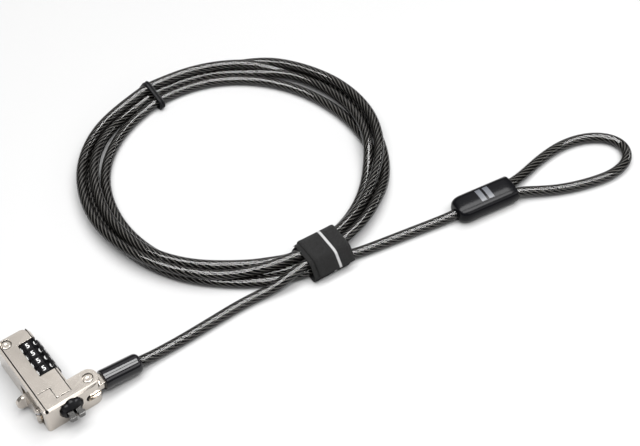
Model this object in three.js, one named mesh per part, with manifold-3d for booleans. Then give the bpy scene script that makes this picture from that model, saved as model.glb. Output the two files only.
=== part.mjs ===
// Four-wheel combination cable lock for a laptop, with its coiled steel cable.
// Millimetres, +Z up. The lock head lies on its back face at z = 0. Inside this file x and y are
// counted from the head's front left corner: +X along the short arm to the cable, +Y along the
// long arm away from the claws. The last lines move the origin under the middle of the head.

import * as THREE from 'three';
import { mergeVertices } from 'three/addons/utils/BufferGeometryUtils.js';
import Module from 'manifold-3d';

const wasm = await Module();
wasm.setup();

// ---- driving dimensions -------------------------------------------------------------------
const GAP = 0.3; // clearance between pieces that touch
const MARGIN = 1; // how far a cutting solid runs past the face that it cuts

const HEAD_HEIGHT = 12.8;
const LEFT = -0.95; // long arm's left side
const RIGHT = 13; // long arm's right side
const FAR = 37.8; // long arm's far end
const ARM_WIDTH = 7.85; // short arm, front face to back
const PIVOT_X = 19.45; // swivel pin, at the short arm's round end
const ARM_RADIUS = ARM_WIDTH / 2;
const WALL = 0.95;
const COVER_THICKNESS = 1.1;
const COVER_UNDERSIDE = HEAD_HEIGHT - COVER_THICKNESS;
const FRONT_BEVEL = 0.95;

const COVER_LEFT = 0.5;
const SEAM_X = 12.2; // seam on the right of the cover
const SEAM_FLOOR = 10.6;
const STEP_X = 6.1; // the cover's front edge steps here
const STEP_NEAR = 3.05;
const STEP_FAR = 8.4;

const AXIS_X = 9.5; // the nose and the claws lie on this axis along Y
const AXIS_Z = 7.3;
const WHEEL_X = 9.25; // the wheels and the spindle lie on this one
const WHEEL_Z = 7.75;
const WHEELS = 4;
const DIGITS = 10;
const WHEEL_PITCH = 4.12;
const WHEEL_WIDTH = 3.8;
const WHEEL_RADIUS = 5.1;
const WHEEL_NOTCH_RADIUS = 4.65;
const FIRST_FLAT = 95; // degrees round the axis
const HUB_RADIUS = 2.4;
const HUB_LENGTH = 2.3;
const SPINDLE_RADIUS = 1.05;
const WINDOW_NEAR = 15.05;
const WINDOW_FAR = 32.15;
const WINDOW_LEFT = 5.8;
const FIRST_WHEEL = (WINDOW_NEAR + WINDOW_FAR - WHEELS * WHEEL_PITCH) / 2;

const SLOT_LEFT = 15.75; // swivel slot in the short arm
const SLOT_LOW = 4.2;
const SLOT_HIGH = 8.2;
const TONGUE_THICKNESS = 3.2;
const TONGUE_Z = (SLOT_LOW + SLOT_HIGH) / 2;
const PIN_RADIUS = 1.15;
const PIN_HEAD_RADIUS = 1.7;
const PIN_RECESS_RADIUS = 2.2;

const NOSE_RADIUS = 3.8;
const COLLAR_RADIUS = 4.7;
const COLLAR_OUT = 2.2; // how far the rubber collar stands out of the front face
const CLAW_WIDTH = 2.3;
const CLAW_GAP = 0.9;
const CLAW_THICKNESS = 2.4;
const CLAW_TIP_Y = -5.3;
const CLAW_PIN_Y = 5.2;
const SLIDE_TRAVEL = 0.6;

const LEVER_PIN_X = -1.15;
const LEVER_PIN_Y = 6.1;
const LEVER_LOW = 1.6;
const LEVER_HIGH = 8;
const TAB_OUT = -5.75; // the thumb tab's outer edge

const CABLE = 4.4; // cable diameter
const CABLE_SIDES = 10;
const SLEEVE_START = 24.7;
const SLEEVE_LENGTH = 16.2;
const SLEEVE_RADIUS = 4;
const SLEEVE_TILT = 7.5; // degrees, down from the head to the surface that the cable lies on
const CRIMP_LENGTH = 8.6;
const CRIMP_START = 3;
const FLOOR = 0.05; // the cord's solids lie this far above the surface

const COIL_X = 127.8; // centre of the coil
const COIL_Y = 64.2;
const COIL_RADIUS = 59.6; // to the middle of the bundle
const BUNDLE_WIDTH = 13.6;
const BUNDLE_HEIGHT = 8.6;
const BUNDLE_CORNER = 2.2;

const STRAP_WIDTH = 16.8; // along the cable
const STRAP_THICKNESS = 1.1;
const STRAP_X = 128.4;
const STRAP_TURN = -4; // degrees about Z
const TIE_ANGLE = 96.7; // degrees round the coil
const TIE_WIDTH = 2;
const TIE_THICKNESS = 0.9;

const LOOP_SLEEVE = { x: 184.55, y: -12, turn: -8.5, length: 27.6, width: 12, height: 8.2 };
const LOOP_BORE_Z = 3.9;
const FERRULE_START = 4.5;
const FERRULE_END = 24;
const LEG_SPACING = 5; // between the end loop's two legs inside the sleeve

// ---- helpers ------------------------------------------------------------------------------
const RAD = Math.PI / 180;

function solid(geometry) {
  const bare = geometry.index ? geometry.toNonIndexed() : geometry.clone();
  bare.deleteAttribute('normal');
  bare.deleteAttribute('uv');
  const merged = mergeVertices(bare, 1e-4);
  return new wasm.Manifold(new wasm.Mesh({
    numProp: 3,
    vertProperties: new Float32Array(merged.attributes.position.array),
    triVerts: new Uint32Array(merged.index.array),
  }));
}

function geometryOf(shape) {
  const mesh = shape.getMesh();
  const geometry = new THREE.BufferGeometry();
  geometry.setAttribute('position', new THREE.BufferAttribute(new Float32Array(mesh.vertProperties), 3));
  geometry.setIndex(new THREE.BufferAttribute(new Uint32Array(mesh.triVerts), 1));
  geometry.computeVertexNormals();
  return geometry;
}

function box(x0, x1, y0, y1, z0, z1) {
  const geometry = new THREE.BoxGeometry(x1 - x0, y1 - y0, z1 - z0);
  return solid(geometry.translate((x0 + x1) / 2, (y0 + y1) / 2, (z0 + z1) / 2));
}

function pillar(x, y, radius, z0, z1, sides = 24) {
  const geometry = new THREE.CylinderGeometry(radius, radius, z1 - z0, sides);
  return solid(geometry.rotateX(Math.PI / 2).translate(x, y, (z0 + z1) / 2));
}

function rod(x, z, radius, y0, y1, sides = 24) {
  const geometry = new THREE.CylinderGeometry(radius, radius, y1 - y0, sides);
  return solid(geometry.translate(x, (y0 + y1) / 2, z));
}

function prism(shape, z0, z1, curveSegments = 8) {
  const geometry = new THREE.ExtrudeGeometry(shape, { depth: z1 - z0, bevelEnabled: false, curveSegments });
  return solid(geometry.translate(0, 0, z0));
}

// A shape drawn in x and z, extruded along Y.
function prismAlongY(shape, y0, y1, curveSegments = 8) {
  const geometry = new THREE.ExtrudeGeometry(shape, { depth: y1 - y0, bevelEnabled: false, curveSegments });
  return solid(geometry.rotateX(Math.PI / 2).translate(0, y1, 0));
}

function polygon(points) {
  return new THREE.Shape(points.map(([x, y]) => new THREE.Vector2(x, y)));
}

function roundedRect(x0, x1, y0, y1, r) {
  const shape = new THREE.Shape();
  shape.moveTo(x0 + r, y0);
  shape.lineTo(x1 - r, y0);
  shape.absarc(x1 - r, y0 + r, r, -Math.PI / 2, 0, false);
  shape.lineTo(x1, y1 - r);
  shape.absarc(x1 - r, y1 - r, r, 0, Math.PI / 2, false);
  shape.lineTo(x0 + r, y1);
  shape.absarc(x0 + r, y1 - r, r, Math.PI / 2, Math.PI, false);
  shape.lineTo(x0, y0 + r);
  shape.absarc(x0 + r, y0 + r, r, Math.PI, 1.5 * Math.PI, false);
  return shape;
}

// A tube of the cable's section along a smooth curve through the points.
function cableTube(points, steps, radius = CABLE / 2, sides = CABLE_SIDES) {
  const curve = new THREE.CatmullRomCurve3(points.map((p) => new THREE.Vector3(...p)), false, 'centripetal');
  const section = new THREE.Shape();
  for (let i = 0; i < sides; i += 1) {
    const a = ((i + 0.5) / sides) * 2 * Math.PI;
    if (i === 0) section.moveTo(radius * Math.cos(a), radius * Math.sin(a));
    else section.lineTo(radius * Math.cos(a), radius * Math.sin(a));
  }
  return solid(new THREE.ExtrudeGeometry(section, { steps, extrudePath: curve, bevelEnabled: false }));
}

// A helical wire spring from z = 0 up.
function helix(radius, wire, height, turns) {
  const points = [];
  const perTurn = 10;
  for (let i = 0; i <= turns * perTurn; i += 1) {
    const a = (i / perTurn) * 2 * Math.PI;
    const z = wire + ((height - 2 * wire) * i) / (turns * perTurn);
    points.push([radius * Math.cos(a), radius * Math.sin(a), z]);
  }
  return cableTube(points, turns * perTurn, wire, 6);
}

// ---- materials ----------------------------------------------------------------------------
const FINISHES = {
  nickel: { color: 0xc9bfb4, roughness: 0.34, metalness: 1 },
  steel: { color: 0xd2d2d0, roughness: 0.22, metalness: 1 },
  springSteel: { color: 0x9a9a9c, roughness: 0.3, metalness: 1 },
  brass: { color: 0xb59a55, roughness: 0.35, metalness: 1 },
  wheelPlastic: { color: 0x141414, roughness: 0.42, metalness: 0 },
  blackPlastic: { color: 0x0b0b0c, roughness: 0.12, metalness: 0 },
  rubber: { color: 0x17181a, roughness: 0.6, metalness: 0 },
  jacket: { color: 0x1c1c1e, roughness: 0.15, metalness: 0 },
  fabric: { color: 0x2c2c2e, roughness: 0.9, metalness: 0 },
};

const head = new THREE.Group();
const rigidEnd = new THREE.Group();
const cableSide = new THREE.Group();
const lock = new THREE.Group();
lock.add(head, rigidEnd, cableSide);

function add(group, name, shape, finish) {
  const mesh = new THREE.Mesh(geometryOf(shape), new THREE.MeshStandardMaterial(FINISHES[finish]));
  mesh.name = name;
  group.add(mesh);
}

// ---- lock head: housing, cover and their pins ----------------------------------------------
function housingOutline() {
  const corner = 1.2;
  const farCorner = 3.2;
  const inner = 0.7;
  const shape = new THREE.Shape();
  shape.moveTo(LEFT + corner, 0);
  shape.lineTo(PIVOT_X, 0);
  shape.absarc(PIVOT_X, ARM_RADIUS, ARM_RADIUS, -Math.PI / 2, Math.PI / 2, false);
  shape.lineTo(RIGHT + inner, ARM_WIDTH);
  shape.absarc(RIGHT + inner, ARM_WIDTH + inner, inner, -Math.PI / 2, -Math.PI, true);
  shape.lineTo(RIGHT, FAR - farCorner);
  shape.absarc(RIGHT - farCorner, FAR - farCorner, farCorner, 0, Math.PI / 2, false);
  shape.lineTo(LEFT + corner, FAR);
  shape.absarc(LEFT + corner, FAR - corner, corner, Math.PI / 2, Math.PI, false);
  shape.lineTo(LEFT, corner);
  shape.absarc(LEFT + corner, corner, corner, Math.PI, 1.5 * Math.PI, false);
  return shape;
}

function coverOutline(grow) {
  const left = COVER_LEFT - grow;
  const right = SEAM_X - GAP + grow;
  const farCorner = 2.4;
  const shape = new THREE.Shape();
  shape.moveTo(left, STEP_FAR + GAP - grow);
  shape.lineTo(STEP_X + GAP / 2 - grow, STEP_FAR + GAP - grow);
  shape.lineTo(STEP_X + GAP / 2 - grow, STEP_NEAR + GAP - grow);
  shape.lineTo(right, STEP_NEAR + GAP - grow);
  shape.lineTo(right, FAR - farCorner);
  shape.absarc(right - farCorner, FAR - farCorner + grow, farCorner, 0, Math.PI / 2, false);
  shape.lineTo(left, FAR + grow);
  return shape;
}

function pillSlot(x0, x1, z0, z1) {
  const radius = (z1 - z0) / 2;
  const shape = new THREE.Shape();
  shape.moveTo(x0 + radius, z0);
  shape.lineTo(x1, z0);
  shape.lineTo(x1, z1);
  shape.lineTo(x0 + radius, z1);
  shape.absarc(x0 + radius, z0 + radius, radius, Math.PI / 2, 1.5 * Math.PI, false);
  return shape;
}

function mainHousing() {
  let body = prism(housingOutline(), 0, HEAD_HEIGHT, 6);
  const bevel = polygon([
    [-MARGIN, HEAD_HEIGHT - FRONT_BEVEL - MARGIN],
    [-MARGIN, HEAD_HEIGHT + MARGIN],
    [FRONT_BEVEL + MARGIN, HEAD_HEIGHT + MARGIN],
  ]);
  const frontBevel = new THREE.ExtrudeGeometry(bevel, { depth: 24, bevelEnabled: false });
  frontBevel.applyMatrix4(new THREE.Matrix4().makeBasis(
    new THREE.Vector3(0, 1, 0), new THREE.Vector3(0, 0, 1), new THREE.Vector3(1, 0, 0)));
  frontBevel.translate(LEFT - MARGIN, 0, 0);
  const sideBevel = polygon([
    [RIGHT + MARGIN, HEAD_HEIGHT - 0.8 - MARGIN],
    [RIGHT + MARGIN, HEAD_HEIGHT + MARGIN],
    [RIGHT - 0.8 - MARGIN, HEAD_HEIGHT + MARGIN],
  ]);
  const cuts = [
    solid(frontBevel),
    prismAlongY(sideBevel, ARM_WIDTH, FAR + MARGIN),
    // seat of the cover, the groove on its left that goes on to the front edge, and its right seam
    prism(coverOutline(GAP), COVER_UNDERSIDE - GAP, HEAD_HEIGHT + MARGIN),
    box(0.05, COVER_LEFT, 0.7, FAR + MARGIN, SEAM_FLOOR, HEAD_HEIGHT + MARGIN),
    box(SEAM_X - GAP, SEAM_X, STEP_NEAR, FAR + MARGIN, SEAM_FLOOR, HEAD_HEIGHT + MARGIN),
    // small blind hole where the groove meets the front face
    rod(0.3, HEAD_HEIGHT - 0.6, 0.65, -MARGIN, 2, 12),
    // wheel pocket, open on the right
    box(3.3, RIGHT + MARGIN, WINDOW_NEAR, WINDOW_FAR, 0.95, HEAD_HEIGHT + MARGIN),
    // chamber for the slide and the claws
    box(1.6, 11.7, 3, 13.8, 1.6, COVER_UNDERSIDE),
    box(11.7, 14.2, 3.7, 7, 1.6, COVER_UNDERSIDE - GAP),
    // nose bore and the collar's seat
    rod(AXIS_X, AXIS_Z, NOSE_RADIUS + GAP, -MARGIN, 4, 28),
    rod(AXIS_X, AXIS_Z, COLLAR_RADIUS + GAP, -MARGIN, 0.8, 28),
    // spindle bearings and the spring's chamber
    rod(WHEEL_X, WHEEL_Z, SPINDLE_RADIUS + GAP, 13, 35, 16),
    rod(WHEEL_X, WHEEL_Z, 2.2, 33.4, 36.9, 20),
    // swivel slot, pin hole and the pin head's recess
    prismAlongY(pillSlot(SLOT_LEFT, 25, SLOT_LOW, SLOT_HIGH), -MARGIN, ARM_WIDTH + MARGIN),
    pillar(PIVOT_X, ARM_RADIUS, PIN_RADIUS + GAP, 1.2, HEAD_HEIGHT, 16),
    pillar(PIVOT_X, ARM_RADIUS, PIN_RECESS_RADIUS, HEAD_HEIGHT - 0.9, HEAD_HEIGHT + MARGIN, 24),
    // cover pin's hole
    pillar(2.6, 35.1, 1.3, 5, COVER_UNDERSIDE, 16),
    // relief behind the lever, and the hole that its arm passes through
    box(LEFT - MARGIN, 0.75, 2.6, 19, LEVER_LOW - GAP, LEVER_HIGH + GAP),
    box(0.5, 2, 4.6, 7.4, 2.6, 5.6),
  ];
  for (const cut of cuts) body = body.subtract(cut);
  // the two lugs that hold the lever's pin
  const lugs = [[0.2, LEVER_LOW - GAP], [7.2, LEVER_HIGH + 0.4]];
  for (const [low, high] of lugs) {
    body = body.add(pillar(LEVER_PIN_X, LEVER_PIN_Y, 1.15, low, high, 16));
    body = body.add(box(LEVER_PIN_X, 1.2, LEVER_PIN_Y - 1.15, LEVER_PIN_Y + 1.15, low, high));
  }
  return body.subtract(pillar(LEVER_PIN_X, LEVER_PIN_Y, 0.75, 0.6, LEVER_HIGH + 0.6, 12));
}

function topCover() {
  return prism(coverOutline(0), COVER_UNDERSIDE, HEAD_HEIGHT, 6)
    .subtract(box(WINDOW_LEFT, RIGHT + MARGIN, WINDOW_NEAR, WINDOW_FAR, 0, HEAD_HEIGHT + MARGIN))
    .subtract(rod(WHEEL_X, WHEEL_Z, WHEEL_RADIUS + GAP, WINDOW_NEAR, WINDOW_FAR, 60))
    .subtract(pillar(2.6, 35.1, PIN_RECESS_RADIUS, COVER_UNDERSIDE - MARGIN, HEAD_HEIGHT + MARGIN, 24));
}

function coverPin() {
  return pillar(2.6, 35.1, 1, 5.4, COVER_UNDERSIDE + 0.2, 16)
    .add(pillar(2.6, 35.1, PIN_HEAD_RADIUS, COVER_UNDERSIDE, HEAD_HEIGHT - 0.2, 24))
    .subtract(pillar(2.6, 35.1, 0.55, HEAD_HEIGHT - 0.6, HEAD_HEIGHT, 12));
}

function pivotPin() {
  return pillar(PIVOT_X, ARM_RADIUS, PIN_RADIUS, 1.5, HEAD_HEIGHT - 0.5, 16)
    .add(pillar(PIVOT_X, ARM_RADIUS, PIN_HEAD_RADIUS, HEAD_HEIGHT - 0.6, HEAD_HEIGHT - 0.1, 24))
    .subtract(pillar(PIVOT_X, ARM_RADIUS, 0.55, HEAD_HEIGHT - 0.5, HEAD_HEIGHT, 12));
}

// ---- lock head: nose, claws and what drives them --------------------------------------------
function lobedDisc(radius, lobes) {
  const shape = new THREE.Shape();
  for (let i = 0; i < lobes; i += 1) {
    for (const [part, r] of [[-0.36, radius], [0, radius * 1.02], [0.36, radius], [0.5, radius * 0.93]]) {
      const a = ((i + part) / lobes) * 2 * Math.PI;
      const point = [AXIS_X + r * Math.cos(a), AXIS_Z + r * Math.sin(a)];
      if (i === 0 && part === -0.36) shape.moveTo(...point);
      else shape.lineTo(...point);
    }
  }
  return shape;
}

function rubberCollar() {
  const flange = prismAlongY(lobedDisc(COLLAR_RADIUS - 0.1, 8), -1.1, 0.5);
  const dome = new THREE.SphereGeometry(1, 24, 12).scale(3.9, 1.3, 3.9).translate(AXIS_X, -0.95, AXIS_Z);
  const reach = CLAW_WIDTH + CLAW_GAP / 2 + GAP;
  return flange.add(solid(dome))
    .subtract(box(AXIS_X - reach, AXIS_X + reach, -4, 2, AXIS_Z - 1.5, AXIS_Z + 1.5));
}

function noseBarrel() {
  const reach = CLAW_WIDTH + CLAW_GAP / 2 + GAP;
  return rod(AXIS_X, AXIS_Z, NOSE_RADIUS, 0.8, 6.6, 28)
    .subtract(box(AXIS_X - reach, AXIS_X + reach, 0, 8, AXIS_Z - 1.5, AXIS_Z + 1.5))
    .subtract(box(AXIS_X - reach - 1, AXIS_X + reach + 1, 4.3, 8, AXIS_Z - 1.5, AXIS_Z + 1.5))
    .subtract(pillar(clawPinX(-1), CLAW_PIN_Y, 0.75, AXIS_Z - 5, AXIS_Z + 5, 12))
    .subtract(pillar(clawPinX(1), CLAW_PIN_Y, 0.75, AXIS_Z - 5, AXIS_Z + 5, 12));
}

function clawPinX(side) {
  return AXIS_X + (side * (CLAW_GAP + CLAW_WIDTH)) / 2;
}

function claw(side) {
  const inner = CLAW_GAP / 2;
  const outer = inner + CLAW_WIDTH;
  const hook = outer + 0.5;
  const points = [
    [inner, CLAW_TIP_Y + 0.3], [inner + 0.3, CLAW_TIP_Y], [hook - 0.6, CLAW_TIP_Y], [hook, CLAW_TIP_Y + 0.7],
    [hook, CLAW_TIP_Y + 1.3], [outer, CLAW_TIP_Y + 1.6], [outer, 6.1], [outer - 0.4, 6.5],
    [inner + 0.3, 6.5], [inner + 0.3, 5], [inner, 4.6],
  ].map(([x, y]) => [AXIS_X + side * x, y]);
  if (side < 0) points.reverse();
  return prism(polygon(points), AXIS_Z - CLAW_THICKNESS / 2, AXIS_Z + CLAW_THICKNESS / 2)
    .subtract(pillar(clawPinX(side), CLAW_PIN_Y, 0.8, 0, HEAD_HEIGHT, 12));
}

function clawPin(side) {
  return pillar(clawPinX(side), CLAW_PIN_Y, 0.45, AXIS_Z - 3, AXIS_Z + 3, 10);
}

// The slide turns the lever's push into the spindle's short travel.
function clawSlide() {
  const low = AXIS_Z - 1.2;
  const high = AXIS_Z + 1.2;
  const wedge = polygon([[AXIS_X - 0.4, 6], [AXIS_X + 0.4, 6], [AXIS_X + 0.45, 8.2], [AXIS_X - 0.45, 8.2]]);
  return box(4.4, 11.2, 8, 10.6, low, high)
    .add(prism(wedge, low, high))
    .add(box(4.4, 5.2, 4.4, 8.2, 3, 7.3))
    .add(box(3, 5.2, 4.4, 5.2, 3, 5.2));
}

function spindle() {
  let shaft = rod(WHEEL_X, WHEEL_Z, SPINDLE_RADIUS, 10.9, 35.9, 16);
  for (let i = 0; i < WHEELS; i += 1) {
    const y = wheelCentre(i) + HUB_LENGTH / 2 + SLIDE_TRAVEL + 0.15;
    shaft = shaft.add(box(WHEEL_X - 0.4, WHEEL_X + 0.4, y, y + 0.3, WHEEL_Z, WHEEL_Z + 2));
  }
  return shaft.add(rod(WHEEL_X, WHEEL_Z, 1.8, 35.5, 36.3, 20));
}

function lever() {
  const pad = new THREE.Shape();
  const padMiddle = (LEVER_LOW + LEVER_HIGH) / 2;
  const padRadius = (LEVER_HIGH - LEVER_LOW) / 2;
  pad.moveTo(LEFT + 0.15, LEVER_LOW);
  pad.lineTo(LEFT + 0.15, LEVER_HIGH);
  pad.lineTo(TAB_OUT + padRadius, LEVER_HIGH);
  pad.absarc(TAB_OUT + padRadius, padMiddle, padRadius, Math.PI / 2, 1.5 * Math.PI, false);
  const blade = polygon([
    [LEVER_PIN_X - 0.55, LEVER_PIN_Y], [LEVER_PIN_X + 0.45, LEVER_PIN_Y], [LEFT + 0.15, 8], [LEFT + 0.15, 15.2],
    [LEFT - 1.6, 15.2], [LEFT - 2.6, 14.4], [LEFT - 1.3, 13.4], [LEFT - 0.75, 11.5], [LEFT - 0.75, 8],
  ]);
  return prismAlongY(pad, 13.7, 15.2, 10)
    .add(prism(blade, LEVER_LOW, LEVER_HIGH))
    .add(pillar(LEVER_PIN_X, LEVER_PIN_Y, 1.15, LEVER_LOW, 5.4, 16))
    .add(box(LEVER_PIN_X, 4, 5.5, 6.6, 3, 5.2))
    .subtract(pillar(LEVER_PIN_X, LEVER_PIN_Y, 0.75, 0, HEAD_HEIGHT, 12))
    .subtract(box(-3, 1, LEVER_PIN_Y - 1.6, LEVER_PIN_Y + 1.6, 5.4, LEVER_HIGH + MARGIN));
}

function leverPin() {
  return pillar(LEVER_PIN_X, LEVER_PIN_Y, 0.45, 0.9, LEVER_HIGH + 0.3, 12);
}

// A coil round the lever's pin, between the lever's eye and the upper lug.
function leverSpring() {
  return helix(0.97, 0.18, 1.2, 2).translate([LEVER_PIN_X, LEVER_PIN_Y, 5.7]);
}

// A coil between the spindle's collar and the bearing wall in front of it.
function spindleSpring() {
  return helix(1.5, 0.2, 1.1, 2).rotate([-90, 0, 0]).translate([WHEEL_X, 33.7, WHEEL_Z]);
}

// ---- lock head: number wheels ----------------------------------------------------------------
function wheelCentre(index) {
  return FIRST_WHEEL + (index + 0.5) * WHEEL_PITCH;
}

// Ten flats, one for each digit, with a notch between neighbours.
function wheelOutline() {
  const shape = new THREE.Shape();
  const flat = 13 * RAD;
  const notch = 16 * RAD;
  for (let i = 0; i < DIGITS; i += 1) {
    const middle = FIRST_FLAT * RAD + (i * 2 * Math.PI) / DIGITS;
    const corners = [
      [middle - notch, WHEEL_NOTCH_RADIUS], [middle - flat, WHEEL_RADIUS],
      [middle + flat, WHEEL_RADIUS], [middle + notch, WHEEL_NOTCH_RADIUS],
    ];
    for (const [a, r] of corners) {
      const point = [WHEEL_X + r * Math.cos(a), WHEEL_Z + r * Math.sin(a)];
      if (i === 0 && a === middle - notch) shape.moveTo(...point);
      else shape.lineTo(...point);
    }
  }
  return shape;
}

function numberWheel(index) {
  const y = wheelCentre(index);
  return prismAlongY(wheelOutline(), y - WHEEL_WIDTH / 2, y + WHEEL_WIDTH / 2)
    .subtract(rod(WHEEL_X, WHEEL_Z, HUB_RADIUS + GAP, y - WHEEL_WIDTH, y + WHEEL_WIDTH, 20));
}

// The hub turns with its wheel; its gate is where the spindle's fin can pass.
function wheelHub(index) {
  const y = wheelCentre(index);
  const half = HUB_LENGTH / 2;
  return rod(WHEEL_X, WHEEL_Z, HUB_RADIUS, y - half, y + half, 20)
    .subtract(rod(WHEEL_X, WHEEL_Z, SPINDLE_RADIUS + GAP, y - 2, y + 2, 16))
    .subtract(box(WHEEL_X - 0.6, WHEEL_X + 0.6, y - 2, y + 2, WHEEL_Z, WHEEL_Z + 2.2));
}

// A comb of leaf springs, one finger for each wheel, on the pocket's left wall.
function detentSpring() {
  const x = 3.55;
  let comb = box(x, x + 0.25, WINDOW_NEAR + 0.5, WINDOW_FAR - 0.5, 1.4, 3.2);
  for (let i = 0; i < WHEELS; i += 1) {
    const y = wheelCentre(i);
    comb = comb.add(box(x, x + 0.25, y - 1.2, y + 1.2, 3, 10.4));
  }
  return comb;
}

// ---- cable side ---------------------------------------------------------------------------
// Pieces on the tilted stretch are drawn along +X from the sleeve's start, then tilted and placed.
const SLEEVE_Z = TONGUE_Z;

function tilted(shape) {
  return shape.rotate([0, SLEEVE_TILT, 0]).translate([SLEEVE_START, ARM_RADIUS, SLEEVE_Z]);
}

function bar(radius, x0, x1, sides) {
  const geometry = new THREE.CylinderGeometry(radius, radius, x1 - x0, sides);
  return solid(geometry.rotateZ(Math.PI / 2).translate((x0 + x1) / 2, 0, 0));
}

function swivelTongue() {
  const half = TONGUE_THICKNESS / 2;
  const eye = pillar(PIVOT_X, ARM_RADIUS, 2.45, TONGUE_Z - half, TONGUE_Z + half, 28);
  const flat = box(PIVOT_X, SLEEVE_START - 0.8, ARM_RADIUS - 2.3, ARM_RADIUS + 2.3, TONGUE_Z - half, TONGUE_Z + half);
  const neck = tilted(box(-1.2, CRIMP_START + 0.5, -2.3, 2.3, -half, half));
  const crimp = tilted(bar(2.9, CRIMP_START, CRIMP_START + CRIMP_LENGTH, 20));
  return eye.add(flat).add(neck).add(crimp)
    .subtract(tilted(bar(1.95, CRIMP_START + 1.5, CRIMP_START + CRIMP_LENGTH + MARGIN, 14)))
    .subtract(pillar(PIVOT_X, ARM_RADIUS, PIN_RADIUS + GAP, 0, HEAD_HEIGHT, 16));
}

// Bare rope end that is swaged into the tongue's barrel.
function ropeEnd() {
  return tilted(bar(1.6, CRIMP_START + 1.8, CRIMP_START + CRIMP_LENGTH + 0.2, 10));
}

function cableSleeve() {
  const profile = [
    [0, 0], [SLEEVE_RADIUS - 0.35, 0], [SLEEVE_RADIUS, 0.35], [SLEEVE_RADIUS, SLEEVE_LENGTH - 1.6],
    [SLEEVE_RADIUS - 0.5, SLEEVE_LENGTH - 0.5], [SLEEVE_RADIUS - 1.3, SLEEVE_LENGTH], [0, SLEEVE_LENGTH],
  ].map(([r, x]) => new THREE.Vector2(r, x));
  const body = solid(new THREE.LatheGeometry(profile, 28).rotateZ(-Math.PI / 2));
  return tilted(body
    .subtract(box(-MARGIN, CRIMP_START, -2.6, 2.6, -1.9, 1.9))
    .subtract(bar(2.9 + GAP, CRIMP_START - GAP, CRIMP_START + CRIMP_LENGTH + GAP, 20))
    .subtract(bar(CABLE / 2 + GAP, CRIMP_START, SLEEVE_LENGTH + MARGIN, 20)));
}

function onSleeveAxis(distance) {
  const turn = SLEEVE_TILT * RAD;
  return [SLEEVE_START + distance * Math.cos(turn), ARM_RADIUS, SLEEVE_Z - distance * Math.sin(turn)];
}

const CABLE_Z = CABLE / 2 + FLOOR;

function lockTail() {
  const start = CRIMP_START + CRIMP_LENGTH + 0.5;
  return cableTube([
    onSleeveAxis(start), onSleeveAxis(SLEEVE_LENGTH), [46, 3.9, 3.05], [53, 3.85, CABLE_Z + 0.25],
    [60, 3.8, CABLE_Z], [72, 3.8, CABLE_Z], [86, 3.85, CABLE_Z], [97, 3.6, CABLE_Z],
    [104, 3.2, CABLE_Z], [110, 2.4, CABLE_Z],
  ], 16).subtract(coilRing(GAP));
}

function coilRing(grow = 0) {
  const half = BUNDLE_WIDTH / 2 + grow;
  const low = FLOOR - grow;
  const outline = roundedRect(COIL_RADIUS - half, COIL_RADIUS + half, low, BUNDLE_HEIGHT + grow, BUNDLE_CORNER);
  const points = outline.getPoints(2);
  if (!points[0].equals(points[points.length - 1])) points.push(points[0].clone());
  const ring = new THREE.LatheGeometry(points, 64).rotateX(Math.PI / 2).translate(COIL_X, COIL_Y, 0);
  return solid(ring);
}

// The strap squeezes the bundle, and the bundle lies on the strap and the tie where they pass.
function cableCoil() {
  const reach = STRAP_WIDTH / 2 + GAP;
  const around = box(-reach, reach, -12, 12, -1, 12).subtract(alongX(bandHole(STRAP_THICKNESS, -GAP), -20, 20));
  const under = box(-TIE_WIDTH / 2 - GAP, TIE_WIDTH / 2 + GAP, -12, 12, -1, TIE_THICKNESS + GAP);
  return coilRing().subtract(strapFrame(around)).subtract(tieFrame(under));
}

function strapFrame(shape) {
  return shape.rotate([0, 0, STRAP_TURN]).translate([STRAP_X, COIL_Y - COIL_RADIUS, 0]);
}

// In this frame x runs along the bundle and y across it.
function tieFrame(shape) {
  const a = TIE_ANGLE * RAD;
  return shape.rotate([0, 0, TIE_ANGLE - 90])
    .translate([COIL_X + COIL_RADIUS * Math.cos(a), COIL_Y + COIL_RADIUS * Math.sin(a), 0]);
}

// A shape drawn across the cable (y, z), extruded along x.
function alongX(shape, x0, x1) {
  return prism(shape, x0, x1, 4).rotate([90, 0, 0]).rotate([0, 0, 90]);
}

function bandHole(thickness, grow = 0) {
  const half = BUNDLE_WIDTH / 2 + GAP + grow;
  return roundedRect(-half, half, thickness - grow, BUNDLE_HEIGHT + GAP + 0.05 + grow, 0.7);
}

// A closed band of rounded section round the bundle.
function band(width, thickness) {
  const half = BUNDLE_WIDTH / 2 + GAP + thickness;
  const outer = roundedRect(-half, half, FLOOR, BUNDLE_HEIGHT + GAP + 0.05 + thickness, 2.2);
  return alongX(outer, -width / 2, width / 2).subtract(alongX(bandHole(thickness), -width, width));
}

function hookStrap() {
  return strapFrame(band(STRAP_WIDTH, STRAP_THICKNESS));
}

function coilTie() {
  return tieFrame(band(TIE_WIDTH, TIE_THICKNESS));
}

function loopSleeveFrame(shape) {
  return shape.rotate([0, 0, LOOP_SLEEVE.turn]).translate([LOOP_SLEEVE.x, LOOP_SLEEVE.y, 0]);
}

function inLoopSleeve(along, across, z = LOOP_BORE_Z) {
  const turn = LOOP_SLEEVE.turn * RAD;
  return [
    LOOP_SLEEVE.x + along * Math.cos(turn) - across * Math.sin(turn),
    LOOP_SLEEVE.y + along * Math.sin(turn) + across * Math.cos(turn),
    z,
  ];
}

function loopTail() {
  return cableTube([
    [138.4, -1.9, 2.9], [144, -3.1, CABLE_Z + 0.1], [151.1, -4.55, CABLE_Z], [164.9, -7.45, CABLE_Z],
    [174, -9.5, CABLE_Z + 0.1], inLoopSleeve(-5, 0, 2.9), inLoopSleeve(-1, 0),
    inLoopSleeve(FERRULE_START - GAP - 0.05, 0),
  ], 10).subtract(coilRing(GAP)).subtract(strapFrame(box(-20, STRAP_WIDTH / 2 + GAP, -14, 14, -1, 14)));
}

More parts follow.
